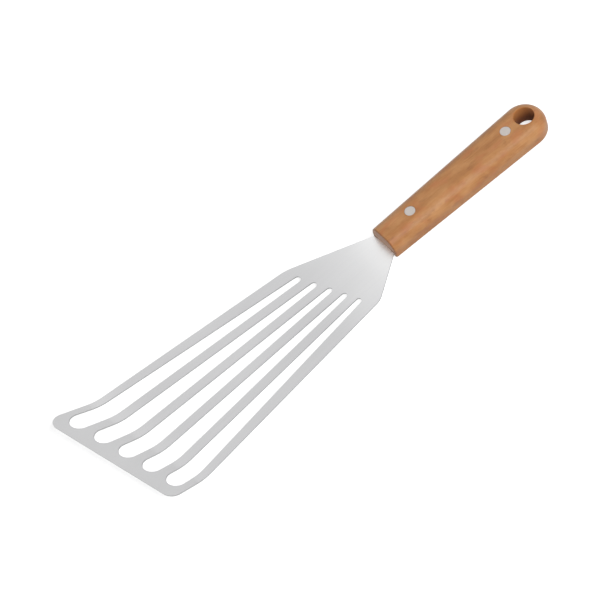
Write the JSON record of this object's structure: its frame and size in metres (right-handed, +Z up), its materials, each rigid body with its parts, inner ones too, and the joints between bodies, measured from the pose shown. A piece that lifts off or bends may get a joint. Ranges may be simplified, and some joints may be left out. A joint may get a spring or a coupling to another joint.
{
  "type": "fish spatula",
  "caption": "Slotted fish spatula with a turned-up lip on its flexible steel blade and a riveted wooden handle with a hanging hole.",
  "frame": {"origin": "centre of the hanging hole, halfway through the handle", "axes": "+X from the blade towards the butt of the handle, +Y to the left of the blade seen from above with the lip ahead, +Z up from the table that the spatula rests on"},
  "size_m": [0.3279, 0.0905, 0.0154],
  "materials": {
    "blade_steel": "satin",
    "handle_wood": "oiled satin",
    "rivet_steel": "satin"
  },
  "bodies": {
    "root": {"blade": "blade_steel", "handle": "handle_wood", "front_rivet_sleeve": "rivet_steel", "front_rivet_post": "rivet_steel", "rear_rivet_sleeve": "rivet_steel", "rear_rivet_post": "rivet_steel"}
  },
  "joints": []
}
